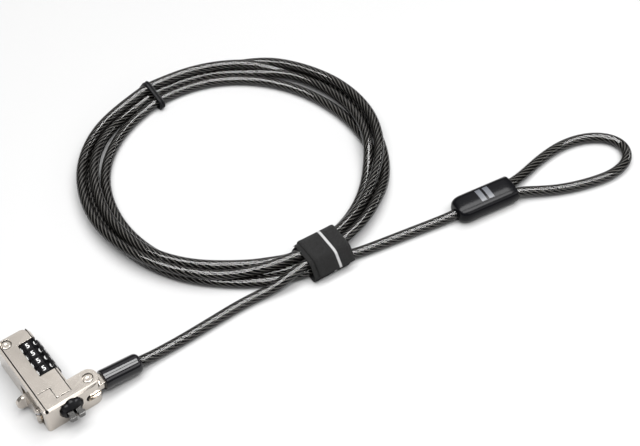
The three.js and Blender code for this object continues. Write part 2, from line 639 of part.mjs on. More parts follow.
// An oval plastic sleeve over the ferrule, with a tapered near end and two holes in its flat end.
function loopSleeve() {
  const { length, width, height } = LOOP_SLEEVE;
  const nose = 4;
  const corner = polygon([[-1, width / 2 - 2.4], [nose, width / 2], [nose, width], [-1, width]]);
  const other = polygon([[-1, 2.4 - width / 2], [-1, -width], [nose, -width], [nose, -width / 2]]);
  return loopSleeveFrame(alongX(roundedRect(-width / 2, width / 2, FLOOR, height, height / 2 - 0.2), 0, length)
    .subtract(prism(corner, -1, height + 1))
    .subtract(prism(other, -1, height + 1))
    .subtract(ferruleSolid(GAP))
    .subtract(boreAt(0, -1, FERRULE_START))
    .subtract(boreAt(LEG_SPACING / 2, FERRULE_END, length + 1))
    .subtract(boreAt(-LEG_SPACING / 2, FERRULE_END, length + 1)));
}

function boreAt(across, x0, x1) {
  return bar(CABLE / 2 + GAP, x0, x1, 16).translate([0, across, LOOP_BORE_Z]);
}

function ferruleSolid(grow) {
  const side = 0.8;
  const half = LOOP_SLEEVE.width / 2 - side + grow;
  const section = roundedRect(-half, half, side - grow, LOOP_SLEEVE.height - side + grow, 2.4);
  return alongX(section, FERRULE_START - grow, FERRULE_END + grow);
}

// The swaged metal ferrule that grips the rope and both legs of the loop.
function loopFerrule() {
  return loopSleeveFrame(ferruleSolid(0));
}

function endLoop() {
  const end = FERRULE_END + GAP + 0.05;
  const out = LOOP_SLEEVE.length + 1.5;
  const half = LEG_SPACING / 2;
  return cableTube([
    inLoopSleeve(end, half), inLoopSleeve(LOOP_SLEEVE.length, half), inLoopSleeve(out, half),
    [222, -12.6, 2.7], [229, -11.1, CABLE_Z], [238, -9.9, CABLE_Z], [248, -9.9, CABLE_Z],
    [258, -12.6, CABLE_Z], [266, -18.6, CABLE_Z], [268.5, -25.8, CABLE_Z], [264.4, -32.4, CABLE_Z],
    [254.8, -34.8, CABLE_Z], [243, -32.8, CABLE_Z], [230, -28, CABLE_Z], [222, -23.8, 2.7],
    inLoopSleeve(out, -half), inLoopSleeve(LOOP_SLEEVE.length, -half), inLoopSleeve(end, -half),
  ], 36);
}

// ---- assembly -----------------------------------------------------------------------------
add(head, 'main_housing', mainHousing(), 'nickel');
add(head, 'top_cover', topCover(), 'nickel');
add(head, 'cover_pin', coverPin(), 'steel');
add(head, 'pivot_pin', pivotPin(), 'steel');
add(head, 'rubber_collar', rubberCollar(), 'rubber');
add(head, 'nose_barrel', noseBarrel(), 'steel');
add(head, 'claw_left', claw(-1), 'steel');
add(head, 'claw_right', claw(1), 'steel');
add(head, 'claw_pin_left', clawPin(-1), 'steel');
add(head, 'claw_pin_right', clawPin(1), 'steel');
add(head, 'claw_slide', clawSlide(), 'steel');
add(head, 'spindle', spindle(), 'steel');
add(head, 'spindle_spring', spindleSpring(), 'springSteel');
add(head, 'release_lever', lever(), 'nickel');
add(head, 'lever_pin', leverPin(), 'steel');
add(head, 'lever_spring', leverSpring(), 'springSteel');
add(head, 'detent_spring', detentSpring(), 'springSteel');
for (let i = 0; i < WHEELS; i += 1) {
  add(head, `number_wheel_${i + 1}`, numberWheel(i), 'wheelPlastic');
  add(head, `wheel_hub_${i + 1}`, wheelHub(i), 'brass');
}
add(rigidEnd, 'swivel_tongue', swivelTongue(), 'nickel');
add(rigidEnd, 'rope_end', ropeEnd(), 'steel');
add(rigidEnd, 'cable_sleeve', cableSleeve(), 'blackPlastic');
add(cableSide, 'cable_lock_tail', lockTail(), 'jacket');
add(cableSide, 'cable_coil', cableCoil(), 'jacket');
add(cableSide, 'coil_tie', coilTie(), 'rubber');
add(cableSide, 'hook_strap', hookStrap(), 'fabric');
add(cableSide, 'cable_loop_tail', loopTail(), 'jacket');
add(cableSide, 'loop_sleeve', loopSleeve(), 'blackPlastic');
add(cableSide, 'loop_ferrule', loopFerrule(), 'steel');
add(cableSide, 'cable_end_loop', endLoop(), 'jacket');

// The origin is on the surface, under the middle of everything that is not cord.
const rigid = new THREE.Box3().setFromObject(head).union(new THREE.Box3().setFromObject(rigidEnd));
const middle = rigid.getCenter(new THREE.Vector3());
lock.position.set(-middle.x, -middle.y, 0);
lock.updateMatrixWorld(true);

export default lock;
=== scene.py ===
import math

import bmesh
import bpy
from mathutils import Matrix, Vector


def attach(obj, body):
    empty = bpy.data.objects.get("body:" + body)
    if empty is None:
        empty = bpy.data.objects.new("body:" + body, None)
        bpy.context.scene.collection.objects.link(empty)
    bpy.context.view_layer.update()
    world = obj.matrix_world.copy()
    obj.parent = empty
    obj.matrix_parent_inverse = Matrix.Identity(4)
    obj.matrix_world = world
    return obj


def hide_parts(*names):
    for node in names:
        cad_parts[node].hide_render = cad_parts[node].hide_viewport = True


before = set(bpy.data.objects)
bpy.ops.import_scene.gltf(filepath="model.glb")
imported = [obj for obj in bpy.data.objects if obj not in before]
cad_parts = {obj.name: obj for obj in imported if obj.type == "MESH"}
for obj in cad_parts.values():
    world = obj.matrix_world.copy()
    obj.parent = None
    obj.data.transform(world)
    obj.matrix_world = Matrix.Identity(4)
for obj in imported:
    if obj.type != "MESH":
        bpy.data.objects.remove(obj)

# A laptop cable lock. Sizes below are millimetres in part.mjs's own axes, where the head's front
# left corner is the origin; at() and MM turn them into metres in the shared frame.
MM = 0.001
SHIFT = Vector((-17.682, -16.25, 0.0))
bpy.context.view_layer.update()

CAMERA_TARGET = (138.5, 19.9, 0.0)
CAMERA_DISTANCE = 0.56
CAMERA_AZIMUTH = -37.0
CAMERA_ELEVATION = 50.5
CAMERA_LENS = 75.94

CABLE = 4.4
ROPE_LAY = 24.0
ROPE_STRANDS = 8
COIL_CENTRE = (127.8, 64.2)
TIE_ANGLE = 96.7
FLATTER_AT = 65.0  # the coil is a little flatter on its far side
FLATTER_BY = 2.4
AXIS_X = 9.5
AXIS_Z = 7.3
WHEEL_CENTRES = (17.42, 21.54, 25.66, 29.78)
WHEEL_X = 9.25
WHEEL_Z = 7.75
WHEEL_FLAT = 4.969  # from the wheel's axis to a flat
FIRST_FLAT = 95  # degrees round the axis
SLEEVE_START = (24.7, 3.925, 6.2)
SLEEVE_TILT = 7.5
SLEEVE_LENGTH = 16.2
SLEEVE_RADIUS = 4.0
LOOP_SLEEVE_START = (184.55, -12.0)
LOOP_SLEEVE_TURN = -8.5
LOOP_SLEEVE_LENGTH = 27.6
LOOP_SLEEVE_HALF = (6.0, 4.07)
LOOP_SLEEVE_Z = 4.13
LOOP_BORE_Z = 3.6
SLEEVE_SQUARENESS = 2.7
LEG_HALF_SPACING = 2.5
STRAP_AT = (128.4, 4.6)
STRAP_TURN = -4.0
STRIPE_AT = 1.4  # a plain light stripe along the strap, and half its width
STRIPE_HALF = 0.55
STRAP_WIDTH = 16.6
STRAP_THICKNESS = 0.5
BEND_ROUNDING = 22  # how many times the cable's route is smoothed
COIL_OUTER = 63.6  # radius where the far side's flattening is whole
TIE_REACH = 58.2  # the tie's middle from the coil's centre
LOWEST_TURN = 2.99  # height of the lowest turns' centres at the tie
CREVICE_SHADE_REACH = 0.0007  # metres over which painted shade darkens a corner
TOP_DIGIT = 5  # the digit on the first flat, which faces up
DIGIT_SIZE = 3.0
COLLAR_LOBES = 8
PLUG_RADIUS = 0.64

# The cable's way through the coil: degrees round it, distance from its centre and height.
TURNS = [
    [
        (-90, 61.8, 6.63), (-82, 61.8, 6.58), (-75, 61.9, 6.42), (-66, 62.2, 6.18),
        (-57, 62.4, 5.86), (-48, 62.8, 4.02), (-40, 63.0, 2.50), (-25, 63.2, 2.22),
        (-10, 63.4, 2.22), (10, 63.8, 2.22), (25, 63.7, 2.22), (33, 62.9, 2.50),
        (40, 61.8, 3.46), (46, 61.3, 4.98), (52, 61.0, 6.1), (60, 60.9, 6.4), (70, 60.9, 6.4),
        (90, 60.9, 6.4), (110, 62.0, 5.94), (128, 64.7, 5.62), (146, 66.1, 5.30),
        (170, 65.6, 5.22), (185, 64.5, 6.02), (198, 63.4, 6.50), (214, 62.0, 6.34),
        (230, 60.6, 6.02), (250, 58.3, 6.42), (260, 57.5, 6.62), (265.5, 58.6, 7.14),
        (270, 59.6, 6.63), (274.5, 59.9, 4.98),
    ],
    [
        (-81, 59.6, 2.82), (-75, 59.7, 2.50), (-57, 59.8, 2.22), (-40, 59.2, 2.22),
        (-25, 57.8, 2.22), (-10, 55.9, 2.22), (10, 54.0, 2.22), (30, 53.6, 2.22),
        (50, 54.0, 2.22), (70, 54.7, 2.22), (90, 54.7, 2.22), (110, 54.6, 2.22),
        (146, 56.2, 2.22), (170, 56.2, 2.22), (198, 56.6, 2.22), (214, 57.0, 2.22),
        (230, 57.2, 2.22), (250, 59.1, 2.22), (261, 59.6, 2.82), (265.5, 58.7, 2.82),
        (270, 57.4, 2.82), (274.5, 56.1, 2.82),
    ],
    [
        (-81, 55.2, 2.82), (-75, 55.1, 2.58), (-57, 55.0, 2.42), (-40, 55.4, 3.38),
        (-32, 56.2, 5.14), (-25, 57.0, 6.42), (-17, 57.7, 6.26), (-10, 58.3, 5.86),
        (0, 58.9, 5.30), (10, 59.8, 4.18), (20, 60.2, 3.70), (30, 60.5, 3.38), (40, 60.0, 2.58),
        (50, 58.8, 2.6), (70, 59.2, 2.9), (90, 59.2, 2.9), (110, 59.4, 2.6),
        (128, 60.7, 4.02), (146, 60.8, 5.94), (158, 60.3, 5.62), (170, 59.9, 5.22),
        (184, 59.4, 5.46), (198, 59.0, 5.62), (214, 57.5, 5.86), (230, 55.9, 5.94),
        (242, 55.0, 4.74), (250, 54.6, 3.70), (261, 55.2, 2.82), (265.5, 54.9, 4.98),
        (270, 55.2, 6.63), (274.5, 56.1, 7.14),
    ],
    [
        (-81, 57.4, 6.63), (-75, 57.2, 6.42), (-66, 57.4, 6.18), (-57, 57.6, 6.02),
        (-40, 59.4, 6.34), (-25, 61.9, 6.62), (-10, 63.8, 6.58), (10, 64.4, 6.50),
        (20, 64.0, 6.58), (30, 64.2, 6.10), (40, 64.8, 5.30), (50, 64.9, 3.70), (60, 63.9, 2.58),
        (70, 63.6, 2.26), (90, 63.6, 2.22), (110, 63.9, 2.22), (128, 64.0, 2.22),
        (146, 63.1, 2.22), (170, 62.6, 2.22), (185, 62.3, 2.22), (198, 62.2, 2.22),
        (214, 61.7, 2.22), (230, 61.4, 2.22), (250, 62.8, 2.22), (262, 64.0, 2.66),
        (270, 64.0, 2.82),
    ],
]


def at(x, y, z=0.0):
    return (Vector((x, y, z)) + SHIFT) * MM


# ---- camera ---------------------------------------------------------------------------------


def place_camera():
    azimuth = math.radians(CAMERA_AZIMUTH)
    elevation = math.radians(CAMERA_ELEVATION)
    away = Vector((
        math.sin(azimuth) * math.cos(elevation),
        -math.cos(azimuth) * math.cos(elevation),
        math.sin(elevation),
    ))
    data = bpy.data.cameras.new("camera")
    data.lens = CAMERA_LENS
    data.sensor_width = 36.0
    data.clip_start = 0.01
    data.clip_end = 20.0
    camera = bpy.data.objects.new("camera", data)
    bpy.context.collection.objects.link(camera)
    camera.location = at(*CAMERA_TARGET) + away * CAMERA_DISTANCE
    camera.rotation_euler = (-away).to_track_quat("-Z", "Y").to_euler()
    bpy.context.scene.camera = camera


# ---- mesh helpers ---------------------------------------------------------------------------


def new_object(name, mesh, body, material, replaces=()):
    obj = bpy.data.objects.new(name, mesh)
    bpy.context.collection.objects.link(obj)
    mesh.materials.clear()
    mesh.materials.append(material)
    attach(obj, body)
    if replaces:
        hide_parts(*replaces)
    return obj


def mesh_from(name, points, faces, uvs=None, sharp=None):
    mesh = bpy.data.meshes.new(name)
    mesh.from_pydata([tuple(p) for p in points], [], faces)
    if uvs:
        layer = mesh.uv_layers.new(name="along")
        flat = [value for face in uvs for pair in face for value in pair]
        layer.data.foreach_set("uv", flat)
    mesh.validate()
    mesh.shade_smooth()
    if sharp:
        mesh.set_sharp_from_angle(angle=math.radians(sharp))
    return mesh


def tidy(mesh, angle=0.6):
    """Merges the CAD's triangles into whole faces, so that a bevel follows the real edges."""
    bm = bmesh.new()
    bm.from_mesh(mesh)
    bmesh.ops.remove_doubles(bm, verts=bm.verts, dist=2e-6)
    bmesh.ops.dissolve_limit(
        bm, angle_limit=math.radians(angle), verts=bm.verts, edges=bm.edges)
    bm.to_mesh(mesh)
    bm.free()


def modified(obj):
    """The object's mesh with its modifiers applied."""
    graph = bpy.context.evaluated_depsgraph_get()
    mesh = bpy.data.meshes.new_from_object(obj.evaluated_get(graph))
    obj.modifiers.clear()
    obj.data = mesh
    return mesh


def bevelled(mesh, width, angle=25.0):
    obj = bpy.data.objects.new("work", mesh)
    bpy.context.collection.objects.link(obj)
    bevel = obj.modifiers.new("bevel", "BEVEL")
    bevel.width = width * MM
    bevel.segments = 2
    bevel.limit_method = "ANGLE"
    bevel.angle_limit = math.radians(angle)
    bevel.miter_outer = "MITER_ARC"
    bevel.use_clamp_overlap = True
    result = modified(obj)
    bpy.data.objects.remove(obj)
    result.shade_smooth()
    result.set_sharp_from_angle(angle=math.radians(18))
    return result


def refined(name, node, body, material, width=0.12):
    """A CAD node's own shape with its edges rounded."""
    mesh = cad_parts[node].data.copy()
    mesh.name = name
    tidy(mesh)
    new_object(name, bevelled(mesh, width), body, material, [node])


def dress(node, material):
    """Gives a CAD node that stays in view its material."""
    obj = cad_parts[node]
    for material_slot in obj.material_slots:
        material_slot.link = "OBJECT"
        material_slot.material = material


# ---- materials ------------------------------------------------------------------------------


class Nodes:
    """A small wrapper that adds shader nodes and links them in one line."""

    def __init__(self, name):
        self.material = bpy.data.materials.new(name)
        self.material.use_nodes = True
        self.tree = self.material.node_tree
        self.shader = self.tree.nodes["Principled BSDF"]

    def add(self, kind, inputs=None, **settings):
        node = self.tree.nodes.new(kind)
        for key, value in settings.items():
            setattr(node, key, value)
        for key, value in (inputs or {}).items():
            if isinstance(value, bpy.types.NodeSocket):
                self.tree.links.new(value, node.inputs[key])
            else:
                node.inputs[key].default_value = value
        return node

    def link(self, source, socket):
        self.tree.links.new(source, self.shader.inputs[socket])

    def set(self, **values):
        for key, value in values.items():
            self.shader.inputs[key.replace("_", " ")].default_value = value

    def ramp(self, factor, stops):
        node = self.add("ShaderNodeValToRGB", {0: factor})
        elements = node.color_ramp.elements
        elements[0].position, elements[0].color = stops[0]
        elements[1].position, elements[1].color = stops[-1]
        for position, color in stops[1:-1]:
            element = elements.new(position)
            element.color = color
        return node.outputs[0]


def grey(value):
    return (value, value, value, 1.0)


def scaled(color, factor):
    return tuple(min(1.0, c * factor) for c in color[:3]) + (1.0,)


def grained(name, color, roughness, metallic, grain, bump, spread=0.06, wear=0.0, crevice_shade=0.0):
    """A base with fine grain, cloudy colour, brighter worn edges and painted shade darkening its
    crevices.
    """
    n = Nodes(name)
    place = n.add("ShaderNodeTexCoord").outputs["Object"]
    fine = n.add("ShaderNodeTexNoise", {"Vector": place, "Scale": grain, "Detail": 3.0})
    cloud = n.add("ShaderNodeTexNoise", {"Vector": place, "Scale": grain / 18, "Detail": 5.0})
    tone = n.ramp(cloud.outputs["Fac"], [
        (0.3, scaled(color, 1 - spread)), (0.7, scaled(color, 1 + spread))])
    if wear:
        edge = n.add("ShaderNodeNewGeometry").outputs["Pointiness"]
        mask = n.ramp(edge, [(0.5, grey(0.0)), (0.56, grey(wear))])
        tone = n.add("ShaderNodeMixRGB", {
            0: mask, 1: tone, 2: scaled(color, 1.3)}).outputs[0]
    # painted shade: ambient occlusion darkens the colour in corners, grooves and seams
    if crevice_shade:
        open_sky = n.add("ShaderNodeAmbientOcclusion", {"Distance": crevice_shade}, samples=8)
        shade = n.ramp(open_sky.outputs["AO"], [(0.25, grey(0.06)), (0.75, grey(1.0))])
        darkened = n.add(
            "ShaderNodeMixRGB", {0: 1.0, 1: tone, 2: shade}, blend_type="MULTIPLY")
        tone = darkened.outputs[0]
    n.link(tone, "Base Color")
    rough = n.add("ShaderNodeMapRange", {
        "Value": cloud.outputs["Fac"], "To Min": roughness * 0.82, "To Max": roughness * 1.2})
    n.link(rough.outputs[0], "Roughness")
    raised = n.add("ShaderNodeBump", {
        "Strength": bump, "Distance": 0.00003, "Height": fine.outputs["Fac"]})
    n.link(raised.outputs[0], "Normal")
    n.set(Metallic=metallic)
    return n


def jacket_material():
    """Smoky see-through plastic: darker towards its edges, where the wall is seen edge on."""
    n = Nodes("jacket")
    facing = n.add("ShaderNodeLayerWeight", {"Blend": 0.35}).outputs["Facing"]
    alpha = n.ramp(facing, [(0.0, grey(0.48)), (0.5, grey(0.6)), (0.85, grey(0.97))])
    n.link(alpha, "Alpha")
    place = n.add("ShaderNodeTexCoord").outputs["Object"]
    haze = n.add("ShaderNodeTexNoise", {"Vector": place, "Scale": 160.0, "Detail": 4.0})
    tone = n.ramp(haze.outputs["Fac"], [(0.3, grey(0.0006)), (0.7, grey(0.0016))])
    n.link(tone, "Base Color")
    uv = n.add("ShaderNodeUVMap", uv_map="along").outputs[0]
    split = n.add("ShaderNodeSeparateXYZ", {0: uv})
    wound = n.add("ShaderNodeMath", {0: split.outputs["Y"], 1: ROPE_LAY}, operation="DIVIDE")
    lead = n.add("ShaderNodeMath", {
        0: split.outputs["X"], 1: wound.outputs[0]}, operation="SUBTRACT")
    phase = n.add("ShaderNodeMath", {
        0: lead.outputs[0], 1: ROPE_STRANDS * 2 * math.pi}, operation="MULTIPLY")
    ridge = n.add("ShaderNodeMath", {0: phase.outputs[0]}, operation="COSINE")
    raised = n.add("ShaderNodeBump", {
        "Strength": 0.02, "Distance": 0.00006, "Height": ridge.outputs[0]}, invert=True)
    n.link(raised.outputs[0], "Normal")
    n.set(Roughness=0.08, Specular_IOR_Level=0.7, IOR=1.5)
    return n.material


def rope_material():
    """Steel strands laid from fine wires, with a painted highlight along each strand's top and
    painted shade, near black, between them.
    """
    n = Nodes("rope")
    uv = n.add("ShaderNodeUVMap", uv_map="along").outputs[0]
    split = n.add("ShaderNodeSeparateXYZ", {0: uv})
    turned = n.add("ShaderNodeMath", {
        0: split.outputs["X"], 1: ROPE_STRANDS * 2 * math.pi}, operation="MULTIPLY")
    across = n.add("ShaderNodeMath", {0: turned.outputs[0]}, operation="COSINE")
    strands = n.add("ShaderNodeMapRange", {
        "Value": across.outputs[0], "From Min": 1.0, "From Max": -1.0})
    # painted highlight on the strands' tops and painted shade in the gaps between them
    tone = n.ramp(strands.outputs[0], [
        (0.45, (0.002, 0.002, 0.002, 1)), (0.72, (0.03, 0.029, 0.027, 1)),
        (1.0, (0.27, 0.26, 0.24, 1))])
    n.link(tone, "Base Color")
    place = n.add("ShaderNodeTexCoord").outputs["Object"]
    grain = n.add("ShaderNodeTexNoise", {"Vector": place, "Scale": 1500.0, "Detail": 2.0})
    raised = n.add("ShaderNodeBump", {
        "Strength": 0.1, "Distance": 0.00003, "Height": grain.outputs["Fac"]})
    n.link(raised.outputs[0], "Normal")
    n.set(Metallic=1.0, Roughness=0.7)
    return n.material


def fabric_material():
    """Woven tape: two sets of threads across each other, with a soft nap."""
    n = Nodes("fabric")
    uv = n.add("ShaderNodeUVMap", uv_map="along").outputs[0]
    split = n.add("ShaderNodeSeparateXYZ", {0: uv})
    threads = []
    for axis, count in (("X", 2.6), ("Y", 1.9)):
        turned = n.add("ShaderNodeMath", {
            0: split.outputs[axis], 1: count * 2 * math.pi}, operation="MULTIPLY")
        threads.append(n.add("ShaderNodeMath", {0: turned.outputs[0]}, operation="SINE"))
    weave = n.add("ShaderNodeMath", {
        0: threads[0].outputs[0], 1: threads[1].outputs[0]}, operation="MULTIPLY")
    place = n.add("ShaderNodeTexCoord").outputs["Object"]
    nap = n.add("ShaderNodeTexNoise", {"Vector": place, "Scale": 5200.0, "Detail": 4.0})
    height = n.add("ShaderNodeMath", {0: weave.outputs[0], 1: nap.outputs["Fac"]}, operation="ADD")
    raised = n.add("ShaderNodeBump", {
        "Strength": 0.7, "Distance": 0.00016, "Height": height.outputs[0]})
    n.link(raised.outputs[0], "Normal")
    tone = n.ramp(nap.outputs["Fac"], [(0.35, grey(0.0006)), (0.7, grey(0.013))])
    aside = n.add("ShaderNodeMath", {
        0: split.outputs["X"], 1: STRIPE_AT}, operation="SUBTRACT")
    away = n.add("ShaderNodeMath", {0: aside.outputs[0]}, operation="ABSOLUTE")
    stripe = n.ramp(away.outputs[0], [
        (STRIPE_HALF - 0.08, grey(1.0)), (STRIPE_HALF + 0.08, grey(0.0))])
    pale = n.ramp(nap.outputs["Fac"], [(0.3, grey(0.2)), (0.7, grey(0.3))])
    tone = n.add("ShaderNodeMixRGB", {0: stripe, 1: tone, 2: pale}).outputs[0]
    n.link(tone, "Base Color")
    n.set(Roughness=0.85, Specular_IOR_Level=0.12, Sheen_Weight=0.03, Sheen_Roughness=0.5)
    return n.material


def floor_material():
    n = Nodes("floor")
    place = n.add("ShaderNodeTexCoord").outputs["Object"]
    cloud = n.add("ShaderNodeTexNoise", {"Vector": place, "Scale": 3.0})
    tone = n.ramp(cloud.outputs["Fac"], [(0.3, grey(0.248)), (0.7, grey(0.258))])
    n.link(tone, "Base Color")
    n.set(Roughness=0.75, Specular_IOR_Level=0.2)
    return n.material


def make_materials():
    nickel = grained(
        "nickel", (0.5, 0.46, 0.415), 0.18, 0.95, 2600.0, 0.3, 0.03, wear=0.5, crevice_shade=CREVICE_SHADE_REACH)
    steel = grained(
        "steel", (0.3, 0.295, 0.29), 0.28, 1.0, 1800.0, 0.2, 0.08, wear=0.4, crevice_shade=CREVICE_SHADE_REACH)
    claw = grained("claw_steel", (0.12, 0.118, 0.115), 0.2, 1.0, 1800.0, 0.2, 0.08)
    spring = grained("spring_steel", (0.45, 0.45, 0.47), 0.3, 1.0, 2400.0, 0.2)
    brass = grained("brass", (0.66, 0.5, 0.24), 0.34, 1.0, 2400.0, 0.25, wear=0.4)
    wheel = grained("wheel_plastic", (0.0015, 0.0015, 0.0018), 0.42, 0.0, 3600.0, 0.3, 0.2)
    wheel.set(Specular_IOR_Level=0.12)
    digit = grained("digit_paint", (0.3, 0.3, 0.295), 0.5, 0.0, 3000.0, 0.2, 0.04)
    pale = grained("print", (0.048, 0.051, 0.058), 0.35, 0.0, 3000.0, 0.1, 0.05)
    gloss = grained("gloss_black", (0.003, 0.003, 0.0035), 0.09, 0.0, 900.0, 0.04, 0.2)
    gloss.set(Specular_IOR_Level=0.35, Coat_Weight=0.1, Coat_Roughness=0.04)
    moulded = grained("moulded_black", (0.002, 0.002, 0.0025), 0.2, 0.0, 900.0, 0.05, 0.2)
    moulded.set(Specular_IOR_Level=0.12)
    # painted shade: a flat black for the pieces that stand in for shade in the grooves and the slot
    painted_shade = grained("painted_shade_black", (0.002, 0.002, 0.002), 0.8, 0.0, 2000.0, 0.2, 0.2)
    painted_shade.set(Specular_IOR_Level=0.05)
    rubber = grained("rubber", (0.0025, 0.0025, 0.003), 0.45, 0.0, 3000.0, 0.35, 0.15)
    rubber.set(Specular_IOR_Level=0.16)
    return {
        "nickel": nickel.material, "steel": steel.material, "claw": claw.material,
        "moulded": moulded.material, "painted_shade": painted_shade.material, "spring": spring.material,
        "brass": brass.material, "wheel": wheel.material, "digit": digit.material,
        "gloss": gloss.material, "print": pale.material, "rubber": rubber.material,
        "jacket": jacket_material(), "rope": rope_material(), "fabric": fabric_material(),
        "floor": floor_material(),
    }


# ---- the cable ------------------------------------------------------------------------------


def smooth_table(table, value, step):
    """Cubic interpolation of a table's columns at even steps of its first one."""
    rows = []
    k = 0
    x = value
    while x <= table[-1][0] + 1e-9:
        while k < len(table) - 2 and x > table[k + 1][0]:
            k += 1
        before = table[max(k - 1, 0)]
        a = table[k]
        b = table[k + 1]
        after = table[min(k + 2, len(table) - 1)]
        span = b[0] - a[0]
        t = (x - a[0]) / span
        row = [x]
        for column in (1, 2):
            rise = (b[column] - a[column]) / span
            start = (b[column] - before[column]) / (b[0] - before[0]) if k else rise
            end = (after[column] - a[column]) / (after[0] - a[0]) if after is not b else rise
            h00 = (1 + 2 * t) * (1 - t) ** 2
            h10 = t * (1 - t) ** 2
            h01 = t * t * (3 - 2 * t)
            h11 = t * t * (t - 1)
            row.append(
                h00 * a[column] + h10 * span * start + h01 * b[column] + h11 * span * end)
        rows.append(tuple(row))
        x += step
    return rows


def coil_points():
    table = []
    for turn, stations in enumerate(TURNS):
        table += [(degrees + 360 * turn, radius, z) for degrees, radius, z in stations]
    points = []
    for degrees, radius, z in smooth_table(table, table[0][0], 3.0):
        a = math.radians(degrees)
        off_tie = (degrees - TIE_ANGLE) % 360
        off_tie = min(off_tie, 360 - off_tie)
        lift = 0.75 * math.exp(-((off_tie / 5.0) ** 2))
        from_far = (degrees - FLATTER_AT + 180) % 360 - 180
        inward = 1 - 0.55 * (COIL_OUTER - radius) / 9.0
        radius -= FLATTER_BY * inward * math.exp(-((from_far / 50.0) ** 2))
        points.append(Vector((
            COIL_CENTRE[0] + radius * math.cos(a),
            COIL_CENTRE[1] + radius * math.sin(a),
            z + lift,
        )))
    return points


def in_loop_sleeve(along, across, z=LOOP_BORE_Z):
    a = math.radians(LOOP_SLEEVE_TURN)
    return Vector((
        LOOP_SLEEVE_START[0] + along * math.cos(a) - across * math.sin(a),
        LOOP_SLEEVE_START[1] + along * math.sin(a) + across * math.cos(a),
        z,
    ))


def on_sleeve_axis(distance):
    a = math.radians(SLEEVE_TILT)
    return Vector((
        SLEEVE_START[0] + distance * math.cos(a), SLEEVE_START[1],
        SLEEVE_START[2] - distance * math.sin(a)))


def cable_route():
    """The whole cable's centreline, from inside the lock's sleeve round to the loop's end."""
    low = CABLE / 2 + 0.05
    lock_tail = [on_sleeve_axis(d) for d in (13.2, 14.6, 16.2)] + [
        Vector(p) for p in (
            (46.0, 3.9, 3.05), (53.0, 3.85, low + 0.25), (60.0, 3.8, low), (66.0, 3.8, low),
            (72.0, 3.85, low), (80.0, 3.95, low), (87.0, 3.92, low), (94.4, 3.36, 2.36),
            (100.8, 2.48, 2.98), (105.0, 1.84, 4.1), (108.8, 1.6, 5.54), (112.4, 1.68, 6.34),
            (117.6, 2.0, 6.58), (122.0, 2.2, 6.63),
        )]
    loop_tail = [
        Vector(p) for p in (
            (133.2, -1.1, 2.7), (138.3, -2.8, 2.4), (144.0, -4.1, 2.3), (151.1, -5.5, low),
            (158.0, -6.8, low), (164.9, -8.1, low), (172.0, -9.5, low),
            (178.5, -10.8, low + 0.2),
        )] + [
        in_loop_sleeve(-1, 0, 2.8), in_loop_sleeve(5, 0.3, 3.5),
        in_loop_sleeve(12, 1.6), in_loop_sleeve(19, LEG_HALF_SPACING),
        in_loop_sleeve(LOOP_SLEEVE_LENGTH, LEG_HALF_SPACING),
        in_loop_sleeve(LOOP_SLEEVE_LENGTH + 1.5, LEG_HALF_SPACING + 0.1),
    ]
    end_loop = [
        Vector(p) for p in (
            (222.0, -12.6, 2.7), (229.0, -11.1, low), (238.0, -9.9, low), (248.0, -9.9, low),
            (258.0, -12.6, low), (266.0, -18.6, low), (268.5, -25.8, low), (264.4, -32.4, low),
            (254.8, -34.8, low), (243.0, -32.8, low), (230.0, -28.0, low), (222.0, -23.8, 2.7),
        )] + [
        in_loop_sleeve(d, -LEG_HALF_SPACING)
        for d in (LOOP_SLEEVE_LENGTH + 1.5, LOOP_SLEEVE_LENGTH, 19, 11, 5.5)
    ]
    return lock_tail + coil_points() + loop_tail + end_loop


def catmull_rom(points, spacing):
    """Even points along a centripetal curve through the given ones."""
    ends = [points[0] * 2 - points[1]] + points + [points[-1] * 2 - points[-2]]
    dense = []
    for p0, p1, p2, p3 in zip(ends, ends[1:], ends[2:], ends[3:]):
        t1 = (p1 - p0).length ** 0.5
        t2 = t1 + max((p2 - p1).length, 1e-6) ** 0.5
        t3 = t2 + (p3 - p2).length ** 0.5
        steps = max(2, int((p2 - p1).length / (spacing * 0.3)))
        for i in range(steps):
            t = t1 + (t2 - t1) * i / steps
            a1 = p0 * ((t1 - t) / t1) + p1 * (t / t1)
            a2 = p1 * ((t2 - t) / (t2 - t1)) + p2 * ((t - t1) / (t2 - t1))
            a3 = p2 * ((t3 - t) / (t3 - t2)) + p3 * ((t - t2) / (t3 - t2))
            b1 = a1 * ((t2 - t) / t2) + a2 * (t / t2)
            b2 = a2 * ((t3 - t) / (t3 - t1)) + a3 * ((t - t1) / (t3 - t1))
            dense.append(b1 * ((t2 - t) / (t2 - t1)) + b2 * ((t - t1) / (t2 - t1)))
    dense.append(points[-1])
    return evenly(dense, spacing)


def evenly(points, spacing):
    total = sum((b - a).length for a, b in zip(points, points[1:]))
    count = max(2, round(total / spacing))
    step = total / count
    result = [points[0]]
    walked = 0.0
    for a, b in zip(points, points[1:]):
        length = (b - a).length
        while length > 0 and walked + length >= step * len(result) - 1e-9 and len(result) < count:
            result.append(a.lerp(b, (step * len(result) - walked) / length))
        walked += length
    result.append(points[-1])
    return result


def eased(points, rounds):
    for _ in range(rounds):
        points = [points[0]] + [
            (a + b * 2 + c) / 4 for a, b, c in zip(points, points[1:], points[2:])
        ] + [points[-1]]
    return points


def frames_along(points):
    """A direction and two cross directions at each point, without twist."""
    result = []
    side = None
    for i, point in enumerate(points):
        ahead = points[min(i + 1, len(points) - 1)] - points[max(i - 1, 0)]
        ahead.normalize()
        if side is None:
            side = ahead.cross(Vector((0, 0, 1))).normalized()
        side = (side - ahead * side.dot(ahead)).normalized()
        result.append((point, side, ahead.cross(side)))
    return result


